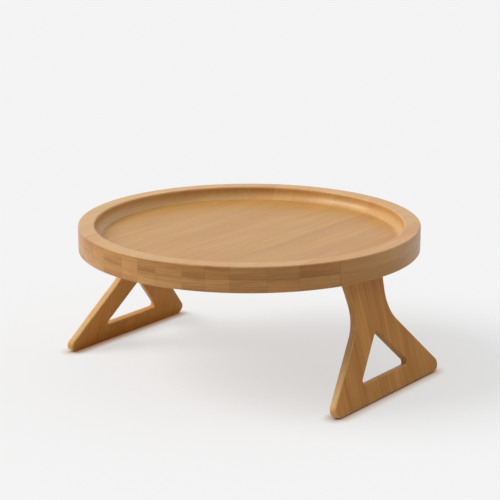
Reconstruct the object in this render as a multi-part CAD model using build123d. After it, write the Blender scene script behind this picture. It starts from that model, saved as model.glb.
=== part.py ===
"""Sofa arm tray: a round bamboo tray on two splayed board legs that fold flat under it.

Millimetres. The origin is on the floor under the middle of the tray, +Z is up.
X runs from the left leg to the right leg, and Y runs along the hinge pins.
"""

import math
import os

from build123d import *

# Tray: two glued layers with one round recess
tray_diameter = 350.0
base_board_thickness = 13.0
rim_ring_thickness = 13.0
rim_width = 17.0
recess_depth = 13.5
cove_radius = 9.0
outer_edge_round = 1.5
inner_edge_round = 2.0

# Stance: how high the underside is, and how the open legs stand
underside_height = 125.0
splay_degrees = 15.8
foot_inset = 0.5
stop_clearance = 0.3

# Leg board outline, measured on its face from the foot upwards
leg_thickness = 8.0
neck_width = 66.0
waist_width = 52.0
waist_height = 80.0
waist_radius = 38.0
foot_width = 206.0
foot_corner_radius = 7.5
cutout_width = 88.0
cutout_base_height = 20.0
cutout_apex_height = 65.5
cutout_corner_radius = 3.0
leg_edge_round = 1.5

# Butt hinges, two to a leg
hinge_spacing = 36.0
hinge_length = 20.0
leaf_width = 12.0
leaf_thickness = 1.2
leaf_corner_radius = 1.5
knuckle_radius = 2.5
knuckle_clearance = 0.3
middle_knuckle_length = 7.2
knuckle_gap = 0.2
pin_radius = 1.3
pin_clearance = 0.05
pin_head_radius = 1.9
pin_head_thickness = 0.6

# Countersunk screws, two to a leaf
screw_radius = 1.1
screw_head_radius = 2.1
screw_head_height = 1.0
screw_tip_length = 2.2
screw_spacing = 11.0
screw_edge_distance = 4.8
screw_clearance = 0.05
wood_past_screw = 2.0
drive_slot_length = 2.2
drive_slot_width = 0.5
drive_slot_depth = 0.6

# How far a cutting tool runs past the face it starts from
cut_overrun = 5.0

# Heights in the tray
tray_radius = tray_diameter / 2
seam_height = underside_height + base_board_thickness
tray_top_height = seam_height + rim_ring_thickness
recess_floor_height = tray_top_height - recess_depth
recess_radius = tray_radius - rim_width

# The open leg, seen along Y: its inner face starts at the foot point and leans in
splay_sin = math.sin(math.radians(splay_degrees))
splay_cos = math.cos(math.radians(splay_degrees))
foot_point_x = tray_radius - foot_inset - leg_thickness * splay_cos
foot_point_z = -leg_edge_round * (splay_cos + splay_sin - 1)
leg_top_height = underside_height - stop_clearance
leg_length = (leg_top_height - foot_point_z) / splay_cos

# Each leaf is screwed down at this distance from the pin's axis
mount_distance = knuckle_radius + knuckle_clearance
hinge_axis_z = underside_height - mount_distance
face_distance = foot_point_x * splay_cos + foot_point_z * splay_sin - mount_distance
hinge_axis_x = (face_distance - hinge_axis_z * splay_sin) / splay_cos

# Folded, a leg lies level under the tray and its foot reaches back to this side of the middle
axis_rise = hinge_axis_z - foot_point_z
folded_reach = (foot_point_x - hinge_axis_x) * splay_sin + axis_rise * splay_cos
folded_foot_gap = 2 * (hinge_axis_x - folded_reach)

# Screw lengths, head included, that leave wood past the point
base_floor_thickness = recess_floor_height - underside_height
tray_screw_length = leaf_thickness + base_floor_thickness - wood_past_screw
leg_screw_length = leaf_thickness + leg_thickness - wood_past_screw
screw_row_distance = leaf_width - screw_edge_distance
screw_seat_distance = mount_distance - leaf_thickness

# Working planes on the right side. Leaf planes have X along the leaf, away from
# the pin, and Y towards the wood that the leaf is screwed to
leg_plane = Plane(
    origin=(foot_point_x, 0, foot_point_z),
    x_dir=(0, 1, 0),
    z_dir=(splay_cos, 0, splay_sin),
)
tray_leaf_plane = Plane(
    origin=(hinge_axis_x, 0, hinge_axis_z),
    x_dir=(-1, 0, 0),
    z_dir=(0, 1, 0),
)
leg_leaf_plane = Plane(
    origin=(hinge_axis_x, 0, hinge_axis_z),
    x_dir=(splay_sin, 0, -splay_cos),
    z_dir=(0, -1, 0),
)

side_turns = {"right": 0, "left": 180}
hinge_places = {"front": -hinge_spacing / 2, "rear": hinge_spacing / 2}
screw_places = (-screw_spacing / 2, screw_spacing / 2)


def standing_cylinder(radius, bottom, height):
    """A cylinder on the tray's axis, from the height of its bottom face."""
    return Pos(0, 0, bottom + height / 2) * Cylinder(radius, height)


def recess_space():
    """The space of the recess: a drum whose bottom edge is rounded into a cove."""
    drum = standing_cylinder(recess_radius, recess_floor_height, recess_depth + cut_overrun)
    return fillet(drum.edges().group_by(Axis.Z)[0], cove_radius)


def base_board():
    """Lower layer: a disc with the last of the recess in its top face."""
    disc = standing_cylinder(tray_radius, underside_height, base_board_thickness)
    disc = fillet(disc.edges().group_by(Axis.Z)[0], outer_edge_round)
    board = disc - recess_space()
    screw_space = screw_body(tray_screw_length, screw_clearance)
    for turn in side_turns.values():
        for place in hinge_places.values():
            holes = one_at_each_hole(tray_leaf_plane, place, screw_space)
            board -= Rot(0, 0, turn) * holes
    return board


def rim_ring():
    """Upper layer: a ring with both top edges rounded and a coved inner wall."""
    ring = standing_cylinder(tray_radius, seam_height, rim_ring_thickness)
    ring = fillet(ring.edges().group_by(Axis.Z)[-1], outer_edge_round)
    ring -= recess_space()
    top_edges = ring.edges().filter_by(GeomType.CIRCLE).group_by(Axis.Z)[-1]
    inner_edge = top_edges.sort_by(SortBy.RADIUS)[0]
    return fillet(inner_edge, inner_edge_round)


def mirrored_outline(points, radii):
    """A closed face from the points of its right half, with a radius at each."""
    left_points = [(-x, y) for x, y in reversed(points) if x != 0]
    left_radii = [radius for (x, _), radius in reversed(list(zip(points, radii))) if x != 0]
    outline = FilletPolyline(*points, *left_points, radius=[*radii, *left_radii], close=True)
    return make_face(outline)


def right_leg_board():
    """The right leg: a waisted board with a cut-out, its top end cut level."""
    board_face = mirrored_outline(
        points=[
            (foot_width / 2, 0),
            (waist_width / 2, waist_height),
            (neck_width / 2, leg_length),
            (neck_width / 2, leg_length + cut_overrun),
        ],
        radii=[foot_corner_radius, waist_radius, 0, 0],
    )
    cutout_face = mirrored_outline(
        points=[(cutout_width / 2, cutout_base_height), (0, cutout_apex_height)],
        radii=[cutout_corner_radius, cutout_corner_radius],
    )
    flat_board = extrude(board_face - cutout_face, leg_thickness)
    face_edges = flat_board.edges().filter_by(Plane.XY)
    flat_board = fillet(face_edges, leg_edge_round)
    board = leg_plane * flat_board

    waste_height = leg_length + cut_overrun
    waste = Box(2 * tray_diameter, 2 * foot_width, waste_height)
    board -= Pos(0, 0, leg_top_height + waste_height / 2) * waste
    screw_space = screw_body(leg_screw_length, screw_clearance)
    for place in hinge_places.values():
        board -= one_at_each_hole(leg_leaf_plane, place, screw_space)
    return board


def screw_body(length, clearance):
    """A countersunk screw along +Y from its head's flat, or the space it needs."""
    head = screw_head_radius + clearance
    shank = screw_radius + clearance
    point_clearance = clearance * screw_tip_length / screw_radius
    profile = Polyline(
        (0, 0),
        (head, 0),
        (shank, screw_head_height),
        (shank, length - screw_tip_length),
        (0, length + point_clearance),
        close=True,
    )
    return revolve(make_face(profile), Axis.Y)


def driven_screw(length):
    """A screw with a cross recess in its head."""
    slot = Box(drive_slot_length, 2 * drive_slot_depth, drive_slot_width)
    return screw_body(length, 0) - slot - Rot(0, 90, 0) * slot


def one_at_each_hole(leaf_plane, place, screw):
    """Copies of a screw, or of its space, at the holes of the leaf at a place."""
    seats = [Pos(screw_row_distance, screw_seat_distance, offset) for offset in screw_places]
    return Part() + [Pos(0, place, 0) * (leaf_plane * (seat * screw)) for seat in seats]


def leaf_plate():
    """The flat of a leaf, along the full hinge, with its two free corners rounded."""
    plate_face = Pos(leaf_width / 2, 0) * Rectangle(leaf_width, hinge_length)
    free_corners = plate_face.vertices().group_by(Axis.X)[-1]
    plate_face = fillet(free_corners, leaf_corner_radius)
    plate = extrude(plate_face, leaf_thickness)
    return Pos(0, mount_distance, 0) * (Rot(90, 0, 0) * plate)


def knuckle(start, end, radius):
    """A cylinder about the pin's axis between two places along it."""
    return Pos(0, 0, (start + end) / 2) * Cylinder(radius, end - start)


def hinge_leaf(own_spans, other_spans, length):
    """A leaf with knuckles on its own spans and room for those of the other leaf."""
    leaf = leaf_plate()
    for start, end in other_spans:
        leaf -= knuckle(start - knuckle_gap, end + knuckle_gap, mount_distance)
    for start, end in own_spans:
        leaf += knuckle(start, end, knuckle_radius)
    leaf -= Cylinder(pin_radius + pin_clearance, hinge_length + cut_overrun)
    for offset in screw_places:
        seat = Pos(screw_row_distance, screw_seat_distance, offset)
        leaf -= seat * screw_body(length, screw_clearance)
    return leaf


def hinge_pin():
    """The pin, headed at both ends, along Z about the hinge's middle."""
    pin = Cylinder(pin_radius, hinge_length + 2 * pin_head_thickness)
    head_centre = (hinge_length + pin_head_thickness) / 2
    for side in (-1, 1):
        pin += Pos(0, 0, side * head_centre) * Cylinder(pin_head_radius, pin_head_thickness)
    rims = pin.edges().group_by(Axis.Z)
    return chamfer(rims[0] + rims[-1], pin_head_thickness / 2)


def hinge_parts():
    """The pieces of one hinge on the right side, at the middle of the leg."""
    half_middle = middle_knuckle_length / 2
    half_hinge = hinge_length / 2
    middle_span = [(-half_middle, half_middle)]
    outer_spans = [
        (-half_hinge, -half_middle - knuckle_gap),
        (half_middle + knuckle_gap, half_hinge),
    ]
    tray_leaf = hinge_leaf(outer_spans, middle_span, tray_screw_length)
    leg_leaf = hinge_leaf(middle_span, outer_spans, leg_screw_length)
    return {
        "hinge_tray_leaf": tray_leaf_plane * tray_leaf,
        "hinge_leg_leaf": leg_leaf_plane * leg_leaf,
        "hinge_pin": tray_leaf_plane * hinge_pin(),
    }


def build_parts():
    """Every named piece of the tray, in its place."""
    parts = {"tray_base_board": base_board(), "tray_rim_ring": rim_ring()}
    right_board = right_leg_board()
    hinge = hinge_parts()
    screws = {
        "tray": (tray_leaf_plane, driven_screw(tray_screw_length)),
        "leg": (leg_leaf_plane, driven_screw(leg_screw_length)),
    }
    for side, turn in side_turns.items():
        parts[f"{side}_leg"] = Rot(0, 0, turn) * right_board
        for name, place in hinge_places.items():
            # A half turn about Z swaps front and rear, so the place is turned back
            right_place = place if turn == 0 else -place
            for piece, shape in hinge.items():
                parts[f"{side}_{name}_{piece}"] = Rot(0, 0, turn) * (Pos(0, right_place, 0) * shape)
            for leaf, (plane, screw) in screws.items():
                pair = one_at_each_hole(plane, right_place, screw)
                parts[f"{side}_{name}_{leaf}_leaf_screws"] = Rot(0, 0, turn) * pair
    return parts


os.makedirs("parts", exist_ok=True)
for node, shape in build_parts().items():
    export_step(shape, f"parts/{node}.step")

print("hinge axis x and z:", round(hinge_axis_x, 3), round(hinge_axis_z, 3))
print("gap between the folded feet:", round(folded_foot_gap, 3))
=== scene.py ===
import math

import bpy
import numpy as np
from mathutils import Matrix


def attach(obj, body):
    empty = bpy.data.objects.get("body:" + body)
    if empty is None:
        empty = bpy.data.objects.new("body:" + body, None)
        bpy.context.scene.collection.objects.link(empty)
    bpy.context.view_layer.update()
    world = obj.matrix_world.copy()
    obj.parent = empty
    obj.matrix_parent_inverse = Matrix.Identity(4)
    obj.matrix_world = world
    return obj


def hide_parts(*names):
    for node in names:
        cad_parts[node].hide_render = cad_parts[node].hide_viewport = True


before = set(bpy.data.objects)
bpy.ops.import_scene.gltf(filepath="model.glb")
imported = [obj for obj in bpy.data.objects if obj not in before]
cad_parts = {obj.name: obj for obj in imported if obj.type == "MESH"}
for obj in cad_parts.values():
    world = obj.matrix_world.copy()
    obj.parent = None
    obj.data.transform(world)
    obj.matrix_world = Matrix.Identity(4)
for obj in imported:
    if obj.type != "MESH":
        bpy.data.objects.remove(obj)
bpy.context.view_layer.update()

mm = 0.001

# The camera of the photograph, found from the outlines of the tray and legs
cameraView = {
    "position": (1.02793, -1.36935, 0.57875),
    "turnDegrees": 36.872,
    "tiltDegrees": 14.987,
    "lens": 123.97,
    "sensor": 36.0,
    "farthest": 100.0,
}


def addCamera(view):
    cameraData = bpy.data.cameras.new("studioCamera")
    cameraData.lens = view["lens"]
    cameraData.sensor_width = view["sensor"]
    cameraData.sensor_fit = "HORIZONTAL"
    cameraData.clip_end = view["farthest"]
    camera = bpy.data.objects.new("studioCamera", cameraData)
    camera.location = view["position"]
    tilt = math.radians(90 - view["tiltDegrees"])
    camera.rotation_euler = (tilt, 0, math.radians(view["turnDegrees"]))
    bpy.context.scene.collection.objects.link(camera)
    bpy.context.scene.camera = camera


addCamera(cameraView)
print("camera placed")


def arcPoints(centre, radius, startAngle, endAngle, steps):
    # centre + radius * (cos a, sin a), with a going evenly from the first angle to the last
    angle = np.linspace(startAngle, endAngle, steps + 1)
    return np.asarray(centre) + radius * np.column_stack([np.cos(angle), np.sin(angle)])


def roundedCorner(corner, radius, inward, outward, arcStep):
    # An arc that touches both runs at radius * tan(half the turn) from the corner, and its
    # wear and painted highlight: the sine of 0 to 180 degrees along it
    turn = math.atan2(inward[0] * outward[1] - inward[1] * outward[0], inward @ outward)
    reach = radius * math.tan(abs(turn) / 2)
    side = math.copysign(1, turn)
    centre = corner - inward * reach + side * radius * np.array([-inward[1], inward[0]])
    start = math.atan2(inward[1], inward[0]) - side * math.pi / 2
    steps = max(2, math.ceil(abs(turn) / arcStep))
    bend = arcPoints(centre, radius, start, start + turn, steps)
    return bend, np.sin(np.linspace(0, math.pi, steps + 1))


pathSpacing = {
    "support": 0.3 * mm,
    "longest": 9 * mm,
    "shortest": 1e-7,
}


def roundedPath(corners, closed, arcStep):
    # Straight runs between corners (x, y, radius), each corner rounded. A support point
    # beside each arc keeps the flats flat, and long runs are divided evenly.
    corner = np.array([c[:2] for c in corners], float)
    toNext = np.roll(corner, -1, axis=0) - corner
    toNext /= np.linalg.norm(toNext, axis=1)[:, None]
    bends = []
    for i, (*_, radius) in enumerate(corners):
        atEnd = not closed and i in (0, len(corners) - 1)
        if atEnd or radius == 0:
            bends.append((corner[i][None], np.zeros(1)))
        else:
            bends.append(roundedCorner(corner[i], radius, toNext[i - 1], toNext[i], arcStep))
    support = pathSpacing["support"]
    points, wearAndHighlightWeights = [], []
    for i, (bend, rubbedAndHighlit) in enumerate(bends):
        points.append(bend)
        wearAndHighlightWeights.append(rubbedAndHighlit)
        if not closed and i == len(bends) - 1:
            break
        start, end = bend[-1], bends[(i + 1) % len(bends)][0][0]
        length = np.linalg.norm(end - start)
        if length > 3 * support:
            count = max(2, math.ceil(length / pathSpacing["longest"]))
            inner = np.linspace(support, length - support, count)
            points.append(start + (end - start) * (inner / length)[:, None])
            wearAndHighlightWeights.append(np.zeros(count))
    points = np.vstack(points)
    wearAndHighlightWeights = np.concatenate(wearAndHighlightWeights)
    kept = np.linalg.norm(points - np.roll(points, 1, axis=0), axis=1) > pathSpacing["shortest"]
    if not closed:
        kept[0] = True
    return points[kept], wearAndHighlightWeights[kept]


def pathNormals(points, closed):
    # The right-hand side of the direction from the point before to the point after
    before, after = np.roll(points, 1, axis=0), np.roll(points, -1, axis=0)
    if not closed:
        before[0], after[-1] = points[0], points[-1]
    along = after - before
    along /= np.linalg.norm(along, axis=1)[:, None]
    return np.column_stack([along[:, 1], -along[:, 0]])


def gridMesh(name, grid, closedRows, layers, sharpRows=()):
    # A surface from grid[row, column] whose columns run round and close. The rows close
    # too, or else each end is shut by a fan on the mean of its row.
    rows, columns = grid.shape[:2]
    index = np.arange(rows * columns).reshape(rows, columns)
    lower = index if closedRows else index[:-1]
    upper = np.roll(index, -1, axis=0) if closedRows else index[1:]
    quads = np.stack([lower, np.roll(lower, -1, 1), np.roll(upper, -1, 1), upper], axis=-1)
    vertices = grid.reshape(-1, 3)
    faces = quads.reshape(-1, 4).tolist()
    values = {key: np.broadcast_to(layer, (rows, columns)).ravel() for key, layer in layers.items()}
    if not closedRows:
        for row, flip in ((0, True), (-1, False)):
            pole = len(vertices)
            vertices = np.vstack([vertices, grid[row].mean(axis=0)])
            ring = index[row]
            fan = np.column_stack([ring, np.roll(ring, -1), np.full(columns, pole)])
            faces += (fan[:, ::-1] if flip else fan).tolist()
            values = {key: np.append(layer, layer[ring[0]]) for key, layer in values.items()}
    mesh = bpy.data.meshes.new(name)
    mesh.from_pydata(vertices.tolist(), [], faces)
    for key, layer in values.items():
        attribute = mesh.attributes.new(key, "FLOAT", "POINT")
        attribute.data.foreach_set("value", layer.astype(np.float32))
    mesh.shade_smooth()
    mesh.update()
    if len(sharpRows):
        ends = np.empty(2 * len(mesh.edges), np.int32)
        mesh.edges.foreach_get("vertices", ends)
        rowOfEnds = ends.reshape(-1, 2) // columns
        sharp = (rowOfEnds[:, 0] == rowOfEnds[:, 1]) & np.isin(rowOfEnds[:, 0], sharpRows)
        mesh.edges.foreach_set("use_edge_sharp", sharp)
    piece = bpy.data.objects.new(name, mesh)
    bpy.context.scene.collection.objects.link(piece)
    return piece


def dress(piece, body, slotName, material, *nodes):
    # A finished piece rides on its body, stands for its CAD nodes and takes its material
    piece.data.materials.clear()
    piece.data.materials.append(material)
    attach(piece, body)
    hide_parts(*nodes)


def paint(red, green, blue):
    # A colour written as screen values from 0 to 255, as the linear colour the shader takes
    screen = np.array([red, green, blue]) / 255
    linear = np.where(screen <= 0.04045, screen / 12.92, ((screen + 0.055) / 1.055) ** 2.4)
    return (*linear.tolist(), 1.0)


def addNode(tree, kind, inputs=None, **settings):
    # A node with its settings, and with each input linked or given its value
    newNode = tree.nodes.new(kind)
    for key, value in settings.items():
        setattr(newNode, key, value)
    for key, value in (inputs or {}).items():
        if isinstance(value, bpy.types.NodeSocket):
            tree.links.new(value, newNode.inputs[key])
        else:
            newNode.inputs[key].default_value = value
    return newNode


def addMath(tree, operation, *values):
    return addNode(tree, "ShaderNodeMath", dict(enumerate(values)), operation=operation).outputs[0]


def addSwing(tree, value, weight, base=0.0, middle=0.5):
    # base + weight * (value - middle)
    return addMath(tree, "MULTIPLY_ADD", addMath(tree, "SUBTRACT", value, middle), weight, base)


def addRamp(tree, value, fromLow, fromHigh, toLow=0.0, toHigh=1.0, smooth=False):
    kind = "SMOOTHSTEP" if smooth else "LINEAR"
    inputs = {0: value, 1: fromLow, 2: fromHigh, 3: toLow, 4: toHigh}
    return addNode(tree, "ShaderNodeMapRange", inputs, interpolation_type=kind).outputs[0]


def addMix(tree, share, first, second, blend="MIX"):
    inputs = {0: share, 6: first, 7: second}
    return addNode(tree, "ShaderNodeMix", inputs, data_type="RGBA", blend_type=blend).outputs[2]


def addNoise(tree, place, noise):
    inputs = dict(zip(("Vector", "Scale", "Detail", "Roughness"), (place, *noise)))
    return addNode(tree, "ShaderNodeTexNoise", inputs).outputs[0]


def addScaled(tree, place, scale):
    return addNode(tree, "ShaderNodeMapping", {"Vector": place, "Scale": scale}).outputs[0]


def addAttribute(tree, name):
    return addNode(tree, "ShaderNodeAttribute", attribute_name=name).outputs["Fac"]


def startGroup(name, inputs, outputs):
    group = bpy.data.node_groups.new(name, "ShaderNodeTree")
    for direction, sockets in (("INPUT", inputs), ("OUTPUT", outputs)):
        for label, (kind, value) in sockets.items():
            socket = group.interface.new_socket(name=label, in_out=direction, socket_type=kind)
            if value is not None:
                socket.default_value = value
    return group, group.nodes.new("NodeGroupInput").outputs, group.nodes.new("NodeGroupOutput").inputs


number = "NodeSocketFloat"
colour = "NodeSocketColor"
vector = "NodeSocketVector"

# A noise is (scale, detail, roughness), and its stretch slows it down along the grain
bambooPattern = {
    "widthWave": {"rate": 2.1, "reach": 0.1},
    "fibreShift": 3.0,
    "fine": {"stretch": 0.012, "noise": (1400.0, 2.0, 0.6), "weight": 0.55},
    "broad": {"stretch": 0.025, "noise": (330.0, 3.0, 0.55), "weight": 0.7},
    "cloud": {"stretch": 0.3, "noise": (34.0, 2.0, 0.5), "weight": 0.6},
    "density": {"skin": (0.35, 1.05), "middle": 0.3, "weight": -0.06, "endWeight": -0.3},
    "node": {"perMetre": 3.7, "shift": 7.0, "wander": 0.03, "middle": 0.5},
    "nodeLine": {"width": 0.009, "share": 0.22, "tint": (0.5, 0.4, 0.3, 1)},
    "nodeBand": {"width": 0.03, "weight": 0.1},
    "glue": {"width": 0.4 * mm, "seam": 0.7, "height": -0.8},
    "glueStain": {"share": 0.3, "tint": (0.45, 0.32, 0.22, 1)},
    "layering": {"stretch": (0.06, 0.06, 1), "noise": (620.0, 2.0, 0.6), "weight": 1.1},
    "dots": {"noise": (1500.0, 1.0, 0.5), "weight": 0.35},
    "endStripContrast": 1.5,
    "warmStrip": (1.0, 0.84, 0.68, 1),
}


def makeBambooGroup(pattern):
    # Bamboo strips glued side by side. Grain holds metres across, along and through the
    # strips. Each strip has its own tone, fibres and a node every so often along it.
    tree, given, result = startGroup(
        "bambooStrips",
        {
            "Grain": (vector, None),
            "Strip Width": (number, 0.0234),
            "Strip Shift": (number, 0.0),
            "Layer Base": (number, 0.0),
            "Layer Thickness": (number, 0.013),
            "Seed": (number, 1.0),
            "Light Fibre": (colour, (0.6, 0.35, 0.15, 1)),
            "Dark Fibre": (colour, (0.4, 0.2, 0.08, 1)),
            "Light End And Painted Light": (colour, (0.6, 0.3, 0.1, 1)),
            "Dark End And Painted Light": (colour, (0.4, 0.16, 0.04, 1)),
            "Strip Contrast": (number, 0.5),
            "Strip Warmth": (number, 0.3),
            "Fibre Contrast": (number, 1.0),
            "End Grain And Painted Light": (number, 0.0),
            "Glue Line": (number, 0.0),
            "Painted Shade Face": (number, 0.0),
            "Painted Shade Tint": (colour, (1, 0.8, 0.6, 1)),
        },
        {"Color": (colour, None), "Fibre": (number, None), "Height": (number, None)},
    )

    # Strips are numbered across, with widths that vary a little
    axes = addNode(tree, "ShaderNodeSeparateXYZ", {0: given["Grain"]}).outputs
    strips = addMath(tree, "DIVIDE", axes[0], given["Strip Width"])
    strips = addMath(tree, "ADD", strips, given["Strip Shift"])
    wave = addMath(tree, "SINE", addMath(tree, "MULTIPLY", strips, pattern["widthWave"]["rate"]))
    strips = addMath(tree, "MULTIPLY_ADD", wave, pattern["widthWave"]["reach"], strips)
    stripNumber = addMath(tree, "FLOOR", strips)
    within = addMath(tree, "FRACT", strips)
    key = addNode(tree, "ShaderNodeCombineXYZ", {0: stripNumber, 1: given["Seed"]}).outputs[0]
    chance = addNode(tree, "ShaderNodeTexWhiteNoise", {0: key}, noise_dimensions="2D").outputs
    chances = addNode(tree, "ShaderNodeSeparateColor", {0: chance["Color"]}).outputs

    # Fibres: noise drawn out along the grain, shifted in each strip
    shifted = addMath(tree, "MULTIPLY_ADD", chances[0], pattern["fibreShift"], axes[1])
    fibres = {}
    for name in ("fine", "broad", "cloud"):
        along = addMath(tree, "MULTIPLY", shifted, pattern[name]["stretch"])
        place = addNode(tree, "ShaderNodeCombineXYZ", {0: axes[0], 1: along, 2: axes[2]}).outputs[0]
        fibres[name] = addNoise(tree, place, pattern[name]["noise"])

    # The cane is denser towards one face of its layer, at the top or bottom by chance
    depth = addMath(tree, "SUBTRACT", axes[2], given["Layer Base"])
    depth = addMath(tree, "DIVIDE", depth, given["Layer Thickness"])
    upside = addMath(tree, "GREATER_THAN", chances[1], 0.5)
    skin = addMath(tree, "ABSOLUTE", addMath(tree, "SUBTRACT", upside, depth))
    dense = pattern["density"]
    density = addRamp(tree, skin, *dense["skin"], smooth=True)

    # A node of the cane crosses the strip as a thin dark line in a paler band
    cane = pattern["node"]
    canePlace = addMath(tree, "MULTIPLY", chances[1], cane["shift"])
    canePlace = addMath(tree, "MULTIPLY_ADD", axes[1], cane["perMetre"], canePlace)
    canePlace = addMath(tree, "FRACT", addSwing(tree, fibres["cloud"], cane["wander"], canePlace))
    fromNode = addMath(tree, "ABSOLUTE", addMath(tree, "SUBTRACT", canePlace, cane["middle"]))
    nodeLine = addRamp(tree, fromNode, 0.0, pattern["nodeLine"]["width"], 1.0, 0.0, True)
    nodeBand = addRamp(tree, fromNode, 0.0, pattern["nodeBand"]["width"], 1.0, 0.0, True)

    # Glue lines between the strips and at the seam between the layers
    glue = pattern["glue"]
    toJoint = addMath(tree, "MINIMUM", within, addMath(tree, "SUBTRACT", 1.0, within))
    toJoint = addMath(tree, "MULTIPLY", toJoint, given["Strip Width"])
    joint = addRamp(tree, toJoint, 0.0, glue["width"], 1.0, 0.0, True)
    joint = addMath(tree, "MAXIMUM", joint, addMath(tree, "MULTIPLY", given["Glue Line"], glue["seam"]))

    # Tone, from dark fibre to light: the strip's own, then its fibres, node and density
    shades = 0.0
    for name, fibre in fibres.items():
        shades = addSwing(tree, fibre, pattern[name]["weight"], shades)
    shades = addMath(tree, "MULTIPLY", shades, given["Fibre Contrast"])
    ownTone = addSwing(tree, chance["Value"], given["Strip Contrast"])
    tone = addMath(tree, "ADD", addMath(tree, "ADD", ownTone, 0.5), shades)
    tone = addMath(tree, "MULTIPLY_ADD", nodeBand, pattern["nodeBand"]["weight"], tone)
    tone = addSwing(tree, density, dense["weight"], tone, dense["middle"])
    tone = addRamp(tree, tone, 0.0, 1.0)
    wood = addMix(tree, tone, given["Dark Fibre"], given["Light Fibre"])
    lineShare = addMath(tree, "MULTIPLY", nodeLine, pattern["nodeLine"]["share"])
    wood = addMix(tree, lineShare, wood, pattern["nodeLine"]["tint"], "MULTIPLY")

    # One face of a leg board, the face towards the right and away from the left lamp, gets painted
    # shade: a warmer, deeper tint
    wood = addMix(tree, given["Painted Shade Face"], wood, given["Painted Shade Tint"], "MULTIPLY")

    # End grain drinks more finish, so it is deeper, with the fibres seen as fine dots; its colours also
    # hold painted shade on the tray's side and painted light on the legs' sawn edges
    layering = addScaled(tree, given["Grain"], pattern["layering"]["stretch"])
    layering = addNoise(tree, layering, pattern["layering"]["noise"])
    dots = addNoise(tree, given["Grain"], pattern["dots"]["noise"])
    endTone = addMath(tree, "MULTIPLY_ADD", ownTone, pattern["endStripContrast"], 0.5)
    endTone = addSwing(tree, layering, pattern["layering"]["weight"], endTone)
    endTone = addSwing(tree, dots, pattern["dots"]["weight"], endTone)
    endTone = addSwing(tree, density, dense["endWeight"], endTone, dense["middle"])
    endTone = addRamp(tree, endTone, 0.0, 1.0)
    endWoodAndPaintedLight = addMix(tree, endTone, given["Dark End And Painted Light"], given["Light End And Painted Light"])
    wood = addMix(tree, given["End Grain And Painted Light"], wood, endWoodAndPaintedLight)

    # Some strips are warmer than others, and glue darkens the wood along its line
    warmth = addMath(tree, "MULTIPLY", chances[2], given["Strip Warmth"])
    wood = addMix(tree, warmth, wood, pattern["warmStrip"], "MULTIPLY")
    stain = addMath(tree, "MULTIPLY", joint, pattern["glueStain"]["share"])
    wood = addMix(tree, stain, wood, pattern["glueStain"]["tint"], "MULTIPLY")
    height = addMath(tree, "MULTIPLY_ADD", joint, glue["height"], fibres["fine"])
    tree.links.new(wood, result["Color"])
    tree.links.new(fibres["fine"], result["Fibre"])
    tree.links.new(height, result["Height"])
    return tree


wearAndHighlightPattern = {
    "detail": 3.0,
    "roughness": 0.5,
    "noiseRange": (0.3, 0.65),
    "shareRange": (0.35, 1.0),
}


def makeWearAndHighlightGroup(pattern):
    # Handling rubs the finish thin on the rounded edges, and they carry a painted highlight, so they are
    # paler, in patches
    tree, given, result = startGroup(
        "edgeWearAndHighlight",
        {
            "Color": (colour, (0.5, 0.3, 0.15, 1)),
            "Worn And Highlight Color": (colour, (0.8, 0.6, 0.4, 1)),
            "Amount": (number, 0.3),
            "Place": (vector, None),
            "Patch Scale": (number, 60.0),
        },
        {"Color": (colour, None)},
    )
    noise = (given["Patch Scale"], pattern["detail"], pattern["roughness"])
    patches = addNoise(tree, given["Place"], noise)
    patches = addRamp(tree, patches, *pattern["noiseRange"], *pattern["shareRange"])
    mask = addMath(tree, "MULTIPLY", addAttribute(tree, "edgeWearAndHighlight"), patches)
    share = addMath(tree, "MULTIPLY", mask, given["Amount"])
    tree.links.new(addMix(tree, share, given["Color"], given["Worn And Highlight Color"]), result["Color"])
    return tree


bambooGroup = makeBambooGroup(bambooPattern)
wearAndHighlightGroup = makeWearAndHighlightGroup(wearAndHighlightPattern)

# Roughness is that of the lightest and the darkest fibres, over the fibre noise's range
rimFinish = {
    "lightFibre": paint(220, 177, 116),
    "darkFibre": paint(184, 136, 77),
    # End colours, partly painted shade on the tray's side
    "lightEndAndPaintedLight": paint(206, 154, 93),
    "darkEndAndPaintedLight": paint(154, 98, 46),
    "wornAndHighlightColor": paint(226, 184, 126),
    "wearAndHighlightAmount": 0.25,
    "fibreContrast": 0.8,
    "stripContrast": 0.5,
    "stripWarmth": 0.75,
    "roughness": (0.3, 0.42),
    "fibreRange": (0.3, 0.7),
    "refraction": 1.45,
    "specularTint": (1.0, 0.9, 0.75, 1),
    "bumpStrength": 0.2,
    "bumpDistance": 0.1 * mm,
}
# The rim ring is paler than the base board, partly each layer's own tone and partly a painted sheen on
# the rim's top
baseFinish = dict(
    rimFinish,
    lightFibre=paint(206, 157, 84),
    darkFibre=paint(164, 112, 50),
    lightEndAndPaintedLight=paint(218, 165, 104),
    darkEndAndPaintedLight=paint(164, 107, 56),
    stripContrast=0.3,
    stripWarmth=0.5,
)
rightLegFinish = {
    "lightFibre": paint(226, 180, 112),
    "darkFibre": paint(184, 132, 70),
    # Paler than the fibres: painted light on the legs' sawn edges
    "lightEndAndPaintedLight": paint(245, 206, 151),
    "darkEndAndPaintedLight": paint(219, 171, 112),
    "wornAndHighlightColor": paint(236, 190, 124),
    "wearAndHighlightAmount": 0.35,
    "fibreContrast": 1.8,
    "stripContrast": 0.22,
    "stripWarmth": 0.3,
    "roughness": (0.38, 0.52),
    "fibreRange": (0.3, 0.7),
    "refraction": 1.3,
    "specularTint": (1.0, 0.85, 0.6, 1),
    "bumpStrength": 0.25,
    "bumpDistance": 0.1 * mm,
    # The tint of the painted shade on the leg face turned away from the left lamp
    "paintedShadeTint": (1.0, 0.8, 0.57, 1),
}
# The left leg's board is paler than the right's, painted light for its shaded inner face, and its
# painted shade tint is deeper
leftLegFinish = dict(
    rightLegFinish,
    lightFibre=paint(243, 193, 121),
    darkFibre=paint(201, 143, 76),
    fibreContrast=1.3,
    paintedShadeTint=(1.0, 0.8, 0.44, 1),
)


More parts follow.
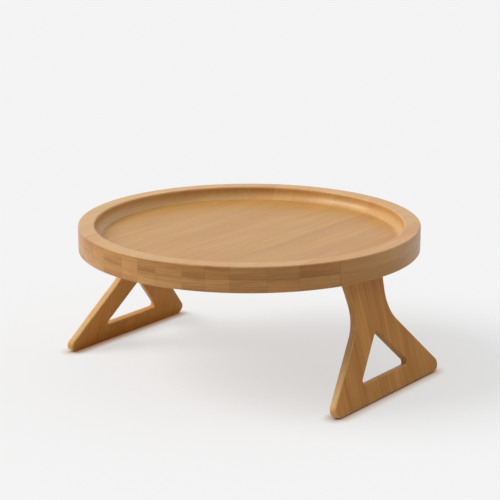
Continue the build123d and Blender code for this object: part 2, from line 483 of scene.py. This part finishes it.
def makeBamboo(name, finish, board):
    # The board's axes are the directions across, along and through its strips
    material = bpy.data.materials.new(name)
    material.use_nodes = True
    tree = material.node_tree
    shader = tree.nodes["Principled BSDF"]
    place = addNode(tree, "ShaderNodeTexCoord").outputs["Object"]
    turn = Matrix(board["axes"]).to_euler()
    grain = addNode(tree, "ShaderNodeMapping", {"Vector": place, "Rotation": turn}).outputs[0]
    values = {
        "Grain": grain,
        "Strip Width": board["stripWidth"],
        "Strip Shift": board["stripShift"],
        "Layer Base": board["layerBase"],
        "Layer Thickness": board["layerThickness"],
        "Seed": board["seed"],
        "Light Fibre": finish["lightFibre"],
        "Dark Fibre": finish["darkFibre"],
        "Light End And Painted Light": finish["lightEndAndPaintedLight"],
        "Dark End And Painted Light": finish["darkEndAndPaintedLight"],
        "Strip Contrast": finish["stripContrast"],
        "Strip Warmth": finish["stripWarmth"],
        "Fibre Contrast": finish["fibreContrast"],
        "End Grain And Painted Light": addAttribute(tree, "endGrainAndPaintedLight"),
        "Glue Line": addAttribute(tree, "glueLine"),
    }
    # Leg boards take a painted shade tint on the face turned away from the left lamp
    if "paintedShadeTint" in finish:
        values["Painted Shade Face"] = addAttribute(tree, "paintedShadeFace")
        values["Painted Shade Tint"] = finish["paintedShadeTint"]
    strips = addNode(tree, "ShaderNodeGroup", values, node_tree=bambooGroup).outputs
    # The rounded edges are made paler: wear and a painted highlight
    values = {
        "Color": strips["Color"],
        "Worn And Highlight Color": finish["wornAndHighlightColor"],
        "Amount": finish["wearAndHighlightAmount"],
        "Place": grain,
    }
    wornAndHighlit = addNode(tree, "ShaderNodeGroup", values, node_tree=wearAndHighlightGroup).outputs["Color"]
    smoothest, roughest = finish["roughness"]
    roughness = addRamp(tree, strips["Fibre"], *finish["fibreRange"], roughest, smoothest)
    values = {
        "Strength": finish["bumpStrength"],
        "Distance": finish["bumpDistance"],
        "Height": strips["Height"],
    }
    tree.links.new(wornAndHighlit, shader.inputs["Base Color"])
    tree.links.new(roughness, shader.inputs["Roughness"])
    tree.links.new(addNode(tree, "ShaderNodeBump", values).outputs[0], shader.inputs["Normal"])
    shader.inputs["IOR"].default_value = finish["refraction"]
    shader.inputs["Specular Tint"].default_value = finish["specularTint"]
    return material


traySizes = {
    "radius": 175 * mm,
    "underside": 125 * mm,
    "seam": 138 * mm,
    "top": 151 * mm,
    "recessFloor": 137.5 * mm,
    "recessRadius": 158 * mm,
    "coveRadius": 9 * mm,
    "outerRound": 1.5 * mm,
    "innerRound": 2.0 * mm,
    "seamRound": 0.15 * mm,
    "seamReach": 0.35 * mm,
    "endGrainAndPaintedShadePower": 0.7,
    "arcStep": math.radians(12),
    "segments": 360,
}


def turned(profile, angle):
    # (r, z) carried round the axis: r * (cos a, sin a) at height z
    radius, height = profile[:, :1], profile[:, 1:]
    return np.stack([radius * np.cos(angle), radius * np.sin(angle), height + 0 * angle], axis=-1)


def turnedPiece(name, corners, closed, sizes):
    profile, bent = roundedPath(corners, closed, sizes["arcStep"])
    sharpCorners = [corner[:2] for corner in corners if corner[2] == 0 and corner[0] > 0]
    nearest = [np.argmin(np.linalg.norm(profile - corner, axis=1)) for corner in sharpCorners]
    glued = np.abs(profile[:, 1] - sizes["seam"]) < sizes["seamReach"]
    angle = np.linspace(0, 2 * math.pi, sizes["segments"], endpoint=False)
    grid = turned(profile, angle)
    outward = pathNormals(profile, closed)[:, :1]
    # A slanting cut soon looks like end grain: |sin a| to a power below 1 round the side, which also
    # places the painted shade of the end colours
    sideways = np.abs(np.sin(angle)) ** sizes["endGrainAndPaintedShadePower"]
    layers = {
        # Wear and a painted highlight on the rounded edges
        "edgeWearAndHighlight": np.where(glued, 0, bent)[:, None],
        "endGrainAndPaintedLight": np.clip(outward, 0, 1) * sideways,
        "glueLine": (glued * bent)[:, None],
    }
    if closed:
        return gridMesh(name, grid, True, layers, nearest)
    # An open profile starts and ends on the axis, where gridMesh puts its poles instead
    layers = {key: layer[1:-1] for key, layer in layers.items()}
    return gridMesh(name, grid[1:-1], False, layers, np.array(nearest) - 1)


def coveCorner(centre, radius, fromAngle, toAngle):
    # The corner whose rounding is the part of the cove between two angles: where the cove's
    # two end tangents meet, on the middle line of the two angles
    middle, half = (fromAngle + toAngle) / 2, (toAngle - fromAngle) / 2
    reach = radius / math.cos(half)
    return centre[0] + reach * math.cos(middle), centre[1] + reach * math.sin(middle), radius


def buildTray(sizes, baseMaterial, rimMaterial):
    cove = sizes["coveRadius"]
    centre = (sizes["recessRadius"] - cove, sizes["recessFloor"] + cove)
    seamAngle = -math.asin((centre[1] - sizes["seam"]) / cove)
    seamRadius = centre[0] + cove * math.cos(seamAngle)
    baseCorners = [
        (0, sizes["underside"], 0),
        (sizes["radius"], sizes["underside"], sizes["outerRound"]),
        (sizes["radius"], sizes["seam"], sizes["seamRound"]),
        (seamRadius, sizes["seam"], 0),
        coveCorner(centre, cove, -math.pi / 2, seamAngle),
        (0, sizes["recessFloor"], 0),
    ]
    base = turnedPiece("trayBaseBoard", baseCorners, False, sizes)
    dress(base, "tray", "tray_bamboo", baseMaterial, "tray_base_board")
    rimCorners = [
        (sizes["radius"], sizes["seam"], sizes["seamRound"]),
        (sizes["radius"], sizes["top"], sizes["outerRound"]),
        (sizes["recessRadius"], sizes["top"], sizes["innerRound"]),
        coveCorner(centre, cove, seamAngle, 0),
        (seamRadius, sizes["seam"], 0),
    ]
    rim = turnedPiece("trayRimRing", rimCorners, True, sizes)
    dress(rim, "tray", "rim_bamboo", rimMaterial, "tray_rim_ring")


trayLayer = {
    "axes": ((1, 0, 0), (0, 1, 0), (0, 0, 1)),
    "stripWidth": 23.4 * mm,
    "stripShift": 0.064,
    "layerThickness": 13 * mm,
}
baseBoard = dict(trayLayer, layerBase=traySizes["underside"], seed=58728.0)
rimBoard = dict(trayLayer, layerBase=traySizes["seam"], seed=31501.0)
baseBamboo = makeBamboo("baseBoardBamboo", baseFinish, baseBoard)
rimBamboo = makeBamboo("rimRingBamboo", rimFinish, rimBoard)
buildTray(traySizes, baseBamboo, rimBamboo)
print("tray built")


# The outline and cut-out are the right half's corners, as (x, y, radius) in millimetres
legSizes = {
    "splayDegrees": 15.8,
    "thickness": 8 * mm,
    "footPoint": (166.802 * mm, -0.352 * mm),
    "outline": [(103, 0, 7.5), (26, 80, 38), (33, 129.96, 1.0)],
    "cutout": [(44, 20, 3), (0, 65.5, 3)],
    "middleHeight": 35 * mm,
    "edgeRound": 1.5 * mm,
    "topEdgeRound": 0.4 * mm,
    "roundFade": (108 * mm, 126 * mm),
    "bevelStart": 118 * mm,
    "topHeight": 129.96 * mm,
    "edgeSteps": 6,
    "outlineStep": math.radians(6),
    "cutoutStep": math.radians(10),
    "anglesInTurn": 8000,
    "faceShare": (0.985, 0.93, 0.75, 0.5, 0.25, 0.07, 0.015),
    "outlineEndGrainAndPaintedLight": 1.4,
    "cutoutEndGrainAndPaintedLight": 0.3,
}


def mirroredCorners(rightHalf):
    left = [(-x, y, radius) for x, y, radius in reversed(rightHalf) if x]
    return [(x * mm, y * mm, radius * mm) for x, y, radius in [*rightHalf, *left]]


def byAngle(points, centreHeight):
    return np.unwrap(np.arctan2(points[:, 1] - centreHeight, points[:, 0]))


def sampleLoop(points, angles, centreHeight):
    # The loop's points and unit normals, read at angles seen from the leg's middle
    own = byAngle(points, centreHeight)
    columns = np.column_stack([points, pathNormals(points, True)])
    sampled = [np.interp(angles, own, column, period=2 * math.pi) for column in columns.T]
    place, normal = np.column_stack(sampled[:2]), np.column_stack(sampled[2:])
    return place, normal / np.linalg.norm(normal, axis=1)[:, None]


def legGrid(sizes):
    centre = sizes["middleHeight"]
    outline = roundedPath(mirroredCorners(sizes["outline"]), True, sizes["outlineStep"])[0]
    cutout = roundedPath(mirroredCorners(sizes["cutout"]), True, sizes["cutoutStep"])[0]
    # Every corner's angle from both loops, to the nearest of a turn's even steps
    steps = sizes["anglesInTurn"]
    angles = np.concatenate([byAngle(outline, centre), byAngle(cutout, centre)])
    angles = np.unique(np.round(angles * steps / (2 * math.pi)) % steps) * 2 * math.pi / steps
    outer, outerNormal = sampleLoop(outline, angles, centre)
    inner, innerNormal = sampleLoop(cutout, angles, centre)

    # Cross-section: outer face's edge round, side, inner face's edge round, inner face,
    # then the same round the cut-out and back over the outer face
    bend = np.linspace(0, math.pi / 2, sizes["edgeSteps"] + 1)
    faceShare = np.array(sizes["faceShare"])
    still = np.zeros_like(faceShare)
    share = np.concatenate([np.ones(2 * len(bend)), faceShare, np.zeros(2 * len(bend)), faceShare[::-1]])
    inset = 1 - np.sin(bend)
    sink = 1 - np.cos(bend)
    offset = np.concatenate([inset, inset[::-1], still + 1, inset, inset[::-1], still + 1])
    depth = np.concatenate([sink, sink[::-1], still, sink, sink[::-1], still])
    onOuterFace = np.concatenate([bend * 0 + 1, bend * 0, still, bend * 0, bend * 0 + 1, still + 1])
    # Wear and a painted highlight on the edge rounds, strongest at their middle
    rubbedAndHighlit = np.concatenate([np.sin(2 * bend), np.sin(2 * bend[::-1]), still] * 2)
    sideward = np.concatenate([np.sin(bend), np.sin(bend[::-1]), still] * 2)

    # The edge round shrinks smoothly, as 3t^2 - 2t^3, before it reaches the top end
    fadeStart, fadeEnd = sizes["roundFade"]
    rise = np.clip((outer[:, 1] - fadeStart) / (fadeEnd - fadeStart), 0, 1)
    atTop = rise ** 2 * (3 - 2 * rise)
    outerRound = sizes["edgeRound"] * (1 - atTop) + sizes["topEdgeRound"] * atTop
    share, offset, depth = share[:, None], offset[:, None], depth[:, None]
    onOuterFace = onOuterFace[:, None]
    rounding = np.where(share == 1, outerRound, sizes["edgeRound"])
    through = onOuterFace * sizes["thickness"] + np.where(onOuterFace == 1, -1, 1) * depth * rounding
    outerPlace = outer - outerNormal * (offset * outerRound)[..., None]
    innerPlace = inner + innerNormal * (offset * sizes["edgeRound"])[..., None]
    flat = share[..., None] * outerPlace + (1 - share[..., None]) * innerPlace

    # Sawn edges take the end colours, painted light on the legs
    sawn = np.clip(sizes["outlineEndGrainAndPaintedLight"] * np.abs(outerNormal[:, 1]), 0, 1)
    cut = sizes["cutoutEndGrainAndPaintedLight"] * np.abs(innerNormal[:, 1])
    endGrainAndPaintedLight = sideward[:, None] * np.where(share > 0.5, sawn, cut)
    return flat, through, {"edgeWearAndHighlight": rubbedAndHighlit[:, None], "endGrainAndPaintedLight": endGrainAndPaintedLight}


def buildLeg(side, turn, sizes, material):
    flat, through, layers = legGrid(sizes)
    across, along = flat[..., 0], flat[..., 1]
    # The top end is cut level: its points slide down the slope by what the splay asks
    splay = math.radians(sizes["splayDegrees"])
    rise = np.clip((along - sizes["bevelStart"]) / (sizes["topHeight"] - sizes["bevelStart"]), 0, 1)
    along = along - through * math.tan(splay) * rise
    footX, footZ = sizes["footPoint"]
    outwards = footX + through * math.cos(splay) - along * math.sin(splay)
    upwards = footZ + through * math.sin(splay) + along * math.cos(splay)
    grid = np.stack([turn * outwards, turn * across, upwards], axis=-1)[::-1]
    # Both boards take the painted shade on their face towards the right, away from the left lamp
    outerShare = through / sizes["thickness"]
    layers["paintedShadeFace"] = outerShare if side == "right" else 1 - outerShare
    layers = {key: layer[::-1] for key, layer in layers.items()}
    piece = gridMesh(side + "LegBoard", grid, True, layers)
    dress(piece, side + "_leg", "leg_bamboo", material, side + "_leg")


legBoards = {
    "right": {"turn": 1, "seed": 2666.0, "stripShift": 0.5, "finish": rightLegFinish},
    "left": {"turn": -1, "seed": 57186.0, "stripShift": 0.2, "finish": leftLegFinish},
}
splaySin = math.sin(math.radians(legSizes["splayDegrees"]))
splayCos = math.cos(math.radians(legSizes["splayDegrees"]))
for side, board in legBoards.items():
    turn = board["turn"]
    board["axes"] = ((0, turn, 0), (-turn * splaySin, 0, splayCos), (turn * splayCos, 0, splaySin))
    board["stripWidth"] = 24.5 * mm
    board["layerBase"] = legSizes["footPoint"][0] * splayCos + legSizes["footPoint"][1] * splaySin
    board["layerThickness"] = legSizes["thickness"]
    buildLeg(side, turn, legSizes, makeBamboo(side + "LegBamboo", board["finish"], board))
print("legs built")


# A metal node takes the first of these kinds that its name holds
steelFinish = {
    "screw": {"light": paint(198, 192, 178), "dark": paint(150, 144, 130), "roughness": (0.3, 0.5)},
    "pin": {"light": paint(190, 189, 187), "dark": paint(150, 149, 147), "roughness": (0.2, 0.34)},
    "hinge": {"light": paint(206, 204, 200), "dark": paint(168, 166, 162), "roughness": (0.28, 0.45)},
}
brushedPattern = {
    "stretch": (1, 0.03, 1),
    "scratches": (4000.0, 2.0, 0.6),
    "clouds": (160.0, 3.0, 0.5),
    "range": (0.35, 0.65),
    "bumpStrength": 0.2,
    "bumpDistance": 0.03 * mm,
}


def makeBrushedGroup(pattern):
    # Fine scratches along one axis over slow cloudy dulling
    tree, given, result = startGroup(
        "brushedSteel",
        {
            "Place": (vector, None),
            "Light": (colour, (0.6, 0.6, 0.6, 1)),
            "Dark": (colour, (0.4, 0.4, 0.4, 1)),
        },
        {"Color": (colour, None), "Scratch": (number, None), "Dulling": (number, None)},
    )
    scratch = addNoise(tree, addScaled(tree, given["Place"], pattern["stretch"]), pattern["scratches"])
    dulling = addNoise(tree, given["Place"], pattern["clouds"])
    tone = addMath(tree, "MULTIPLY", addMath(tree, "ADD", scratch, dulling), 0.5)
    tone = addRamp(tree, tone, *pattern["range"])
    tree.links.new(addMix(tree, tone, given["Dark"], given["Light"]), result["Color"])
    tree.links.new(scratch, result["Scratch"])
    tree.links.new(dulling, result["Dulling"])
    return tree


brushedGroup = makeBrushedGroup(brushedPattern)


def makeSteel(name, finish, pattern):
    material = bpy.data.materials.new(name)
    material.use_nodes = True
    tree = material.node_tree
    shader = tree.nodes["Principled BSDF"]
    place = addNode(tree, "ShaderNodeTexCoord").outputs["Object"]
    values = {"Place": place, "Light": finish["light"], "Dark": finish["dark"]}
    brushed = addNode(tree, "ShaderNodeGroup", values, node_tree=brushedGroup).outputs
    roughness = addRamp(tree, brushed["Dulling"], *pattern["range"], *finish["roughness"])
    values = {
        "Strength": pattern["bumpStrength"],
        "Distance": pattern["bumpDistance"],
        "Height": brushed["Scratch"],
    }
    tree.links.new(brushed["Color"], shader.inputs["Base Color"])
    tree.links.new(roughness, shader.inputs["Roughness"])
    tree.links.new(addNode(tree, "ShaderNodeBump", values).outputs[0], shader.inputs["Normal"])
    shader.inputs["Metallic"].default_value = 1.0
    return material


steels = {}
for kind, finish in steelFinish.items():
    steels[kind] = makeSteel(kind + "Steel", finish, brushedPattern)
for nodeName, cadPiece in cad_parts.items():
    kinds = [kind for kind in steels if kind in nodeName]
    if kinds:
        cadPiece.data.materials.clear()
        cadPiece.data.materials.append(steels[kinds[0]])
print("hinges finished")


studio = {
    "floorSize": 12.0,
    "floorBounce": (0.7, 0.7, 0.7, 1),
    "floorColor": (0.82, 0.82, 0.82, 1),
    "floorGlow": 0.98,
    "glowShare": 0.6,
    # Reach and red, green and blue powers of the painted contact shadow beside the feet
    "paintedShadowReach": 12 * mm,
    "paintedShadowPowers": (1.2, 1.8, 2.4),
    "surround": (0.913, 0.913, 0.913, 1),
    "ambient": (0.06, 0.06, 0.06, 1),
    "lamps": {
        "topLamp": {"azimuth": 0, "elevation": 88, "spread": 120, "strength": 1.25},
        "leftLamp": {"azimuth": -145, "elevation": 41, "spread": 40, "strength": 2.3},
        "rightLamp": {"azimuth": 50, "elevation": 18, "spread": 40, "strength": 0.2},
    },
}


def addSeenRay(tree):
    # One for rays from the camera, mirror reflections and glass
    path = addNode(tree, "ShaderNodeLightPath").outputs
    seen = addMath(tree, "MAXIMUM", path["Is Camera Ray"], path["Is Glossy Ray"])
    return addMath(tree, "MAXIMUM", seen, path["Is Transmission Ray"])


def joinShaders(tree, share, first, second):
    inputs = {0: share, 1: first.outputs[0], 2: second.outputs[0]}
    return addNode(tree, "ShaderNodeMixShader", inputs)


def buildFloor(settings):
    half = settings["floorSize"] / 2
    mesh = bpy.data.meshes.new("studioFloor")
    corners = [(-half, -half, 0), (half, -half, 0), (half, half, 0), (-half, half, 0)]
    mesh.from_pydata(corners, [], [(0, 1, 2, 3)])
    floor = bpy.data.objects.new("studioFloor", mesh)
    bpy.context.scene.collection.objects.link(floor)
    material = bpy.data.materials.new("studioFloor")
    material.use_nodes = True
    mesh.materials.append(material)
    tree = material.node_tree
    tree.nodes.clear()
    bounce = addNode(tree, "ShaderNodeBsdfDiffuse", {"Color": settings["floorBounce"]})
    matt = addNode(tree, "ShaderNodeBsdfDiffuse", {"Color": settings["floorColor"]})
    # Beside a foot the glow fades to a warm brown, a painted contact shadow: openness to a
    # power of its own for each of red, green and blue
    paintedShadowOpenness = addNode(tree, "ShaderNodeAmbientOcclusion", {"Distance": settings["paintedShadowReach"]})
    paintedShadowFades = [addMath(tree, "POWER", paintedShadowOpenness.outputs["AO"], power) for power in settings["paintedShadowPowers"]]
    glowWithPaintedShadow = addNode(tree, "ShaderNodeCombineColor", dict(enumerate(paintedShadowFades))).outputs[0]
    glow = addNode(tree, "ShaderNodeEmission", {"Color": glowWithPaintedShadow, "Strength": settings["floorGlow"]})
    pale = joinShaders(tree, settings["glowShare"], matt, glow)
    mixed = joinShaders(tree, addSeenRay(tree), bounce, pale)
    # From below, the camera looks through the floor at the tray's underside
    path = addNode(tree, "ShaderNodeLightPath").outputs
    fromBelow = addNode(tree, "ShaderNodeNewGeometry").outputs["Backfacing"]
    fromBelow = addMath(tree, "MULTIPLY", fromBelow, path["Is Camera Ray"])
    surface = joinShaders(tree, fromBelow, mixed, addNode(tree, "ShaderNodeBsdfTransparent"))
    addNode(tree, "ShaderNodeOutputMaterial", {"Surface": surface.outputs[0]})


def buildSurround(settings):
    world = bpy.data.worlds.new("studioWorld")
    bpy.context.scene.world = world
    world.use_nodes = True
    tree = world.node_tree
    tree.nodes.clear()
    shade = addMix(tree, addSeenRay(tree), settings["ambient"], settings["surround"])
    sky = addNode(tree, "ShaderNodeBackground", {"Color": shade, "Strength": 1.0})
    addNode(tree, "ShaderNodeOutputWorld", {"Surface": sky.outputs[0]})


def buildLamps(lamps):
    # Azimuth and elevation are where a lamp stands, azimuth turning from +X towards +Y
    for name, lamp in lamps.items():
        light = bpy.data.lights.new(name, "SUN")
        light.energy = lamp["strength"]
        light.angle = math.radians(lamp["spread"])
        holder = bpy.data.objects.new(name, light)
        holder.rotation_euler = (0, math.radians(90 - lamp["elevation"]), math.radians(lamp["azimuth"]))
        bpy.context.scene.collection.objects.link(holder)


buildFloor(studio)
buildSurround(studio)
buildLamps(studio["lamps"])
bpy.context.scene.view_settings.view_transform = "Standard"
print("studio lit")
